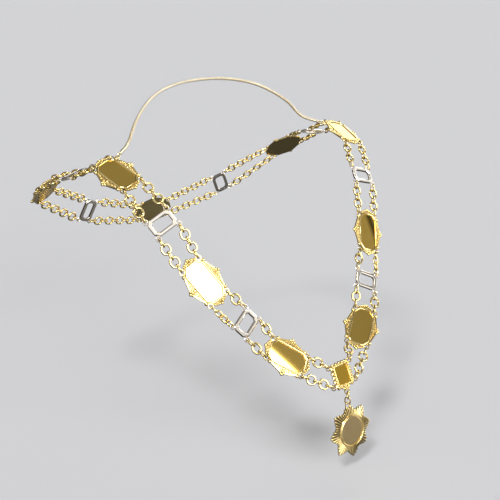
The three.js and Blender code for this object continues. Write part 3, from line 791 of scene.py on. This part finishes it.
def centreParts(shape):
    face, back, opening = shape["face"], shape["back"], shape["inner"]
    a = (np.arange(shape["around"]) + 0.5) * 2 * np.pi / shape["around"]
    c, s = np.cos(a), np.sin(a)
    # outline and inner loop: rounded squares, half width / (|cos|^p + |sin|^p)^(1/p), the outline in lobes
    lobes, depth = shape["lobes"]
    outerPower, innerPower = shape["squares"]
    square = lambda half, p: half / (np.abs(c) ** p + np.abs(s) ** p) ** (1 / p)
    edge = square(centre["half"] - shape["inset"], outerPower) + depth * np.cos(lobes * a)
    around = np.stack([c, s], -1)
    outline, inner = around * edge[:, None], around * square(opening, innerPower)[:, None]
    fold = lambda flat: np.sort(np.abs(flat), -1)[..., ::-1]
    rise = lambda flat: relief(fold(flat), [], shape["bosses"])
    baseAt = falling((opening, opening), face, shape["fall"])
    parts = [borderPart(inner, outline, shape["across"], baseAt, back, rise, shape["pitShade"])]
    # panel: a slab with a low crown, inside a half-round rail
    pu, pv = centre["panel"]
    cut, w = shape["panelCut"], shape["railWidth"]
    crown = crowned((pu, pv), shape["panelFace"], shape["panelCrown"])
    panel = evenly(eightSided(pu, pv, cut, cut), shape["panelFaces"])
    rings = np.linspace(0.1, 1, shape["panelRings"])
    parts.append(slabPart(panel, crown, back, rings, shape["panelTone"]))
    railCut = cut + shape["railCut"] * w
    rail = eightSided(pu + w / 2, pv + w / 2, railCut, railCut)
    parts.append(mitred(rail, railSection(w, back, shape["railTop"]), shape["railTone"]))
    # gadroons: a row of beads round the rail
    out, radius, places = shape["gadroon"]
    spots = {(round(i * out, 3) + 0.0, round(j * p, 3) + 0.0) for p in places for i, j in signs}
    spots |= {(v, u) for u, v in spots}
    spots |= {(i * shape["gadroonCorner"], j * shape["gadroonCorner"]) for i, j in signs}
    lift = face + shape["gadroonLift"]
    parts.append(beads([(u, v, lift, radius) for u, v in sorted(spots)], tone=shape["gadroonTone"]))
    # foot: a small beaded crest down to the drop eye
    foot = np.array(shape["foot"])
    foot = np.concatenate([foot, foot[::-1] * [-1, 1]])
    middle = foot.mean(0)
    flat = lambda u, v: np.full(u.shape, face - shape["footDrop"])
    crest = slabPart(evenly((foot - middle)[::-1], shape["footFaces"]), flat, back, [0.5, 1.0], castTone)
    crest["co"] = crest["co"] + [*middle, 0]
    parts.append(crest)
    pairs = sorted({(i * u + 0.0, v, face, r) for u, v, r in shape["footBeads"] for i in (1, -1)})
    parts.append(beads(pairs))
    for u, v in [centre["topEye"], centre["lowEye"]]:
        parts += [eyeRing(u, v, *plaque["eyeRing"]), eyeRing(-u, v, *plaque["eyeRing"])]
    parts.append(eyeRing(*centre["dropEye"], dropThick))
    return parts


centreMade = centreParts(centreLook)
makePiece("scroll_centre_link", centreMade, centreSeat, gold, "chain", ["centre_link"])

# Badge: two drop links, a star of ribbed rays with a double rim, and a bare disc

badge = {
    "link": {"length": 8.4, "width": 6.2, "wire": 1.2, "around": 36, "wireSides": 12},
    "linkTurns": (60, 120),
    "ease": 0.5,
    "eye": (0, 25, 3.3, 2.3),
    "lean": 12,
    "points": 8,
    "ribs": 7,
    "ribLengths": (26.0, 24.3, 22.2, 20.2),
    "eyeRib": 22.5,  # the top rib stops short of the eye's hole
    "ribStart": 15.1,
    "ribShare": 0.64,  # of the pitch; the rest is groove
    "ribEnd": 1.15,
    "ribRise": 1.0,
    "ribRound": (0.98, 0.97),  # how near its end and its section come to half circles
    "endRise": 0.15,  # share of the rise that is left at a rib's end
    "ribSteps": (0, 0.2, 0.4, 0.6, 0.74, 0.84, 0.91, 0.96, 0.99, 1.0),
    "ribFaces": 11,
    "grooveShadeFade": 1.8,
    "slope": (0.95, -0.15),
    "middle": 0.5,
    "back": -0.7,
    "backTone": 0.2,
    "rims": [(15.25, 1.3, 0.42, 0.9), (14.4, 1.75, 0.42, 0.85)],  # radius, height, half width, half height
    "rimFaces": (120, 12),
    "disc": (13.7, 0.9, 1.9),  # radius, back and face
    "discEdge": (0.5, 0.35),  # how wide and how deep the edge rolls down
    "discRings": (*np.linspace(0.1, 0.96, 9), 0.975, 0.99, 1.0),
}


def starParts(shape):
    ribs = shape["points"] * shape["ribs"]
    x = np.linspace(-1, 1, shape["ribFaces"])  # across one rib
    endRound, sideRound = shape["ribRound"]
    lengths = np.array(shape["ribLengths"])
    rib = np.arange(ribs)
    away = np.abs((rib + shape["ribs"] // 2) % shape["ribs"] - shape["ribs"] // 2)
    angle = ((rib[:, None] + shape["ribShare"] * x / 2) * 2 * np.pi / ribs + np.pi / 2).ravel()
    tips = lengths[away]
    tips[0] = shape["eyeRib"]
    reach = (tips[:, None] - shape["ribEnd"] * (1 - np.sqrt(1 - endRound * x ** 2))).ravel()
    x = np.tile(x, ribs)
    # height: a slope that falls from the rims to the tips, with a half-round rib on it that rounds off
    # at its end
    inside = shape["ribStart"]
    s = np.array(shape["ribSteps"])[:, None]
    r = inside + s * (reach - inside)
    high, low = shape["slope"]
    fall = high + (low - high) * (r - inside) / (lengths[0] - inside)
    past = np.clip((r - reach + shape["ribEnd"]) / shape["ribEnd"], 0, 1)
    share = shape["endRise"] + (1 - shape["endRise"]) * np.sqrt(np.clip(1 - past ** 2, 0, 1))
    z = fall + shape["ribRise"] * np.sqrt(1 - sideRound * x ** 2) * share
    co = np.stack([r * np.cos(angle), r * np.sin(angle), z], -1)
    m, rows = len(angle), len(s) + 1
    low = np.stack([reach * np.cos(angle), reach * np.sin(angle), np.full(m, shape["back"])], -1)
    # painted shade: the tone rises from 0 on each rib's crest to 1 in the groove, darkening its flanks
    grooveShade = np.broadcast_to(np.abs(x) ** shape["grooveShadeFade"], r.shape)
    tone = np.concatenate([grooveShade.ravel(), np.full(m + 2, shape["backTone"])])
    points = np.concatenate([co.reshape(-1, 3), low, [[0, 0, shape["middle"]], [0, 0, shape["back"]]]])
    parts = [part(points, gridQuads(rows, m, False), endFans(rows, m), tone)]
    around, sides = shape["rimFaces"]
    for radius, height, wide, tall in shape["rims"]:
        parts.append(sweep(circle(around, radius, height), disc(sides, wide, tall)))
    parts.append(eyeRing(*shape["eye"], dropThick))
    return parts


def discParts(shape):
    radius, low, top = shape["disc"]
    wide, deep = shape["discEdge"]
    # face: flat, with an edge that falls with the square of the way into it
    face = lambda u, v: top - deep * np.clip((np.hypot(u, v) - radius + wide) / wide, 0, 1) ** 2
    return [slabPart(disc(shape["rimFaces"][0], radius, radius), face, low, shape["discRings"])]


down = np.array([0.0, 0, -1])
dropRadius, dropHole = centre["dropEye"][2:]
dropWall = (dropRadius + dropHole) / 2
wire = badge["link"]["wire"]
dropHold = holdOf(dropRadius, dropHole, wire, roundEyeSides) + badge["ease"]
dropPivot = onSeat((0, centre["dropEye"][1] - dropWall, 0), centreSeat)
linkTop = dropPivot - down * dropHold
linkReach = badge["link"]["length"] - wire
linkApart = wire + linkGap
for k, (word, degrees) in enumerate(zip(["upper", "lower"], badge["linkTurns"])):
    turn = math.radians(degrees)
    middle = linkTop + down * (linkReach / 2 + k * (linkReach - linkApart))
    place = seat(down, (math.sin(turn), -math.cos(turn), 0), middle)
    node = f"badge_link_{word}"
    makePiece(f"oval_{node}", [linkPart(**badge["link"], place=place)], None, gold, "drop_links", [node])
linkFoot = linkTop + down * (2 * linkReach - linkApart)
badgeTilt = math.radians(badge["lean"])
badgeSeat = seat((1, 0, 0), (0, -math.cos(badgeTilt), math.sin(badgeTilt)), (0, 0, 0))
badgeSeat["at"] = onSeat((0, -badge["eye"][1] - dropWall, 0), badgeSeat) + linkFoot - down * dropHold
makePiece("ribbed_star", starParts(badge), badgeSeat, starShadeGold, "badge", ["badge_star"])
makePiece("plain_disc", discParts(badge), badgeSeat, satin, "badge", ["badge_disc"])
print("centre link and badge made")


# Neck chain: slanting oval links laid close along the way from one top plaque to the other

neck = {
    "ring": {"length": 6.0, "width": 6.0, "wire": 1.0, "around": 28, "wireSides": 10},
    "way": [(108, 2, 5), (93, 11, 22), (66, 25, 39), (34, 35, 47)],
    "middle": (0, 38, 49),
    "waySteps": 24,
    "lead": 0.3,  # from the ring's wire to the first link
    "rise": (0, 0.5, 1),  # the way that the links stand up
    # inside: how much shade is painted on the inner side of each link's wire
    "link": {"length": 4.5, "width": 3.4, "wire": 1.25, "around": 10, "wireSides": 5, "inside": 1.0},
    "slant": 45,  # of a link's length from the way
    "pitch": 2.2,
}


# A smooth way through points: between two of them, four neighbours are blended twice, with the root of
# their distances as the clock
def smoothWay(points, each):
    p = np.asarray(points, float)
    p = np.concatenate([[2 * p[0] - p[1]], p, [2 * p[-1] - p[-2]]])
    out = []
    for k in range(1, len(p) - 2):
        q = p[k - 1:k + 3]
        clock = np.concatenate([[0], np.cumsum(np.sqrt(np.linalg.norm(np.diff(q, axis=0), axis=1)))])
        t = np.linspace(clock[1], clock[2], each, endpoint=False)[:, None]
        blend = lambda a, b, ta, tb: (a * (tb - t) + b * (t - ta)) / (tb - ta)
        first = [blend(q[i], q[i + 1], clock[i], clock[i + 1]) for i in range(3)]
        second = [blend(first[i], first[i + 1], clock[i], clock[i + 2]) for i in range(2)]
        out.append(blend(second[0], second[1], clock[1], clock[2]))
    return np.concatenate([*out, p[-2:-1]])


neckEnds, neckRings = [], []
neckRadius, neckHole = neckEye["ring"][:2]
wall = (neckRadius + neckHole) / 2
hold = holdOf(neckRadius, neckHole, neck["ring"]["wire"], roundEyeSides)
reach = neck["ring"]["length"] - neck["ring"]["wire"]
for side in (-1, 1):
    plate = topPlates[side]
    facing = plate["axes"][2]
    eye = onSeat((neckEye["at"][0], -side * neckEye["at"][1], 0), plate)
    toward = np.array(neck["way"][0], float) * [side, 1, 1]
    pivot = eye + squareTo(toward - eye, facing) * wall
    out = unit(toward - pivot)
    start = pivot - out * hold
    normal = np.cross(out, squareTo(facing, out))
    place = seat(out, normal, start + out * reach / 2)
    neckRings.append(linkPart(**neck["ring"], place=place))
    neckEnds.append(start + out * (reach + neck["lead"]))
half = np.array(neck["way"], float)
knots = [neckEnds[0], *(half * flip), neck["middle"], *half[::-1], neckEnds[1]]
way = smoothWay(knots, neck["waySteps"])
length = np.concatenate([[0], np.cumsum(np.linalg.norm(np.diff(way, axis=0), axis=1))])
count = int(length[-1] / neck["pitch"])
stops = (np.arange(count) + 0.5) * length[-1] / count
spots = np.stack([np.interp(stops, length, way[:, i]) for i in range(3)], -1)
heading = unit(np.gradient(spots, axis=0))
fineLinks = []
slant = math.radians(neck["slant"])
for k in range(count):
    rise = squareTo(neck["rise"], heading[k])
    lean = turned(heading[k], rise, slant)
    place = seat(lean, np.cross(rise, lean), spots[k])
    fineLinks.append(linkPart(**neck["link"], place=place))
makePiece("fine_neck_chain", neckRings + fineLinks, None, pale, "chain", ["neck_chain"], crease["wire"])
print("neck chain made", count, "links")

# Camera, floor and light

shot = {
    "at": (-0.4651, -0.6053, 0.1610),
    "from": (-39.54, 20.43),
    "lens": 55.89,
    "sensor": 36,
    "clip": (0.01, 50),
}


def facingIn(azimuth, rise):  # the turn of what looks in from an azimuth, from -Y towards +X, and a rise
    a, e = math.radians(azimuth), math.radians(rise)
    out = Vector((math.sin(a) * math.cos(e), -math.cos(a) * math.cos(e), math.sin(e)))
    return (-out).to_track_quat("-Z", "Y").to_euler()


camera = bpy.data.cameras.new("camera")
camera.lens, camera.sensor_width = shot["lens"], shot["sensor"]
camera.clip_start, camera.clip_end = shot["clip"]
cameraObject = bpy.data.objects.new("camera", camera)
cameraObject.location = shot["at"]
cameraObject.rotation_euler = facingIn(*shot["from"])
bpy.context.scene.collection.objects.link(cameraObject)
bpy.context.scene.camera = cameraObject

floorLook = {"height": -0.285, "half": 60.0, "colour": (0.45, 0.45, 0.462), "rough": 0.9}
floorMesh = bpy.data.meshes.new("floor")
h = floorLook["half"]
floorMesh.from_pydata([(-h, -h, 0), (h, -h, 0), (h, h, 0), (-h, h, 0)], [], [(0, 1, 2, 3)])
floorMesh.transform(Matrix.Translation((0, 0, floorLook["height"])))
floorPaint = bpy.data.materials.new("floorPaint")
floorPaint.use_nodes = True
paint = floorPaint.node_tree.nodes["Principled BSDF"].inputs
paint["Base Color"].default_value = (*floorLook["colour"], 1)
paint["Roughness"].default_value = floorLook["rough"]
paint["Specular IOR Level"].default_value = 0.0
floorMesh.materials.append(floorPaint)
floor = bpy.data.objects.new("floor", floorMesh)
bpy.context.scene.collection.objects.link(floor)
floor.visible_glossy = False  # the metal mirrors the room, not the floor

# Room: dim, with soft-edged bright windows. A window fades out over its soft edge on both sides of its
# middle, in azimuth (0 straight ahead of the chain's front, turning towards +X, in radians) and in height
# (the sine of the rise)
roomLook = {
    "walls": 0.07,
    "backdrop": (0.58, 0.58, 0.593),  # what the camera sees behind the floor
    # azimuth and its half width in degrees (999 is all round), height and its half width, soft edge,
    # brightness
    "windows": [
        (2, 26, 0.21, 0.61, 0.08, 1.0),  # front
        (4, 24, 0.38, 0.24, 0.02, 8.0),  # middle of the front window
        (90.5, 39.5, 0.11, 0.51, 0.04, 1.0),  # right
        (108, 21, 0.26, 0.30, 0.06, 1.8),  # middle of the right window
        (122, 32, 0.68, 0.16, 0.06, 1.1),  # high right
        (-58, 28, 0.38, 0.40, 0.06, 0.8),  # left
        (-114, 24, 0.68, 0.18, 0.06, 1.1),  # high left
        (38, 9.5, 0.30, 0.45, 0.03, 0.32),  # grey wall between front and right
        (38, 1.6, 0.46, 0.05, 0.03, 0.9),  # strip light on it
        (0, 999, 1.0, 0.14, 0.06, 0.24),  # ceiling
        (0, 999, -0.25, 0.33, 0.20, 0.28)],  # table
}
windowInputs = ["Middle", "Half", "Rise", "HalfRise", "Soft", "Bright"]  # a window's numbers in that order


def softWindow():
    group = bpy.data.node_groups.new("softWindow", "ShaderNodeTree")
    for name in ["Azimuth", "Height", *windowInputs]:
        group.interface.new_socket(name, in_out="INPUT", socket_type="NodeSocketFloat")
    group.interface.new_socket("Light", in_out="OUTPUT", socket_type="NodeSocketFloat")
    inn, out = group.nodes.new("NodeGroupInput"), group.nodes.new("NodeGroupOutput")

    def reckon(operation, *values, clamp=False):
        node = group.nodes.new("ShaderNodeMath")
        node.operation, node.use_clamp = operation, clamp
        for k, value in enumerate(values):
            if isinstance(value, float):
                node.inputs[k].default_value = value
            else:
                group.links.new(value, node.inputs[k])
        return node.outputs["Value"]

    shares = []
    for at, middle, half in [("Azimuth", "Middle", "Half"), ("Height", "Rise", "HalfRise")]:
        away = reckon("ABSOLUTE", reckon("SUBTRACT", inn.outputs[at], inn.outputs[middle]))
        inside = reckon("SUBTRACT", inn.outputs[half], away)
        share = reckon("DIVIDE", inside, inn.outputs["Soft"])
        shares.append(reckon("ADD", share, 0.5, clamp=True))
    light = reckon("MULTIPLY", reckon("MULTIPLY", *shares), inn.outputs["Bright"])
    group.links.new(light, out.inputs["Light"])
    return group


world = bpy.data.worlds.new("room")
bpy.context.scene.world = world
world.use_nodes = True
sky, skyLink = world.node_tree.nodes, world.node_tree.links.new
direction = sky.new("ShaderNodeTexCoord")
split = sky.new("ShaderNodeSeparateXYZ")
skyLink(direction.outputs["Generated"], split.inputs["Vector"])
front = sky.new("ShaderNodeMath")
front.operation = "MULTIPLY"
front.inputs[1].default_value = -1.0
skyLink(split.outputs["Y"], front.inputs[0])
azimuth = sky.new("ShaderNodeMath")
azimuth.operation = "ARCTAN2"
skyLink(split.outputs["X"], azimuth.inputs[0])
skyLink(front.outputs["Value"], azimuth.inputs[1])
windowGroup = softWindow()
total = None
for row in roomLook["windows"]:
    node = sky.new("ShaderNodeGroup")
    node.node_tree = windowGroup
    skyLink(azimuth.outputs["Value"], node.inputs["Azimuth"])
    skyLink(split.outputs["Z"], node.inputs["Height"])
    values = [math.radians(row[0]), math.radians(row[1]), *row[2:]]
    for name, value in zip(windowInputs, values):
        node.inputs[name].default_value = value
    add = sky.new("ShaderNodeMath")
    add.inputs[0].default_value = roomLook["walls"]
    if total is not None:
        skyLink(total, add.inputs[0])
    skyLink(node.outputs["Light"], add.inputs[1])
    total = add.outputs["Value"]
seen = sky.new("ShaderNodeLightPath")
backdrop = sky.new("ShaderNodeMix")
backdrop.data_type = "RGBA"
backdrop.inputs["B"].default_value = (*roomLook["backdrop"], 1)
skyLink(seen.outputs["Is Camera Ray"], backdrop.inputs["Factor"])
skyLink(total, backdrop.inputs["A"])
skyLink(backdrop.outputs["Result"], sky["Background"].inputs["Color"])

key = {"from": (-70, 58), "wide": 14, "strength": 1.6}  # a far soft lamp that gives the shadows
light = bpy.data.lights.new("keyLamp", "SUN")
light.energy, light.angle = key["strength"], math.radians(key["wide"])
made = bpy.data.objects.new("keyLamp", light)
made.rotation_euler = facingIn(*key["from"])
bpy.context.scene.collection.objects.link(made)
bpy.context.scene.view_settings.view_transform = "Standard"
print("camera, floor and light set")
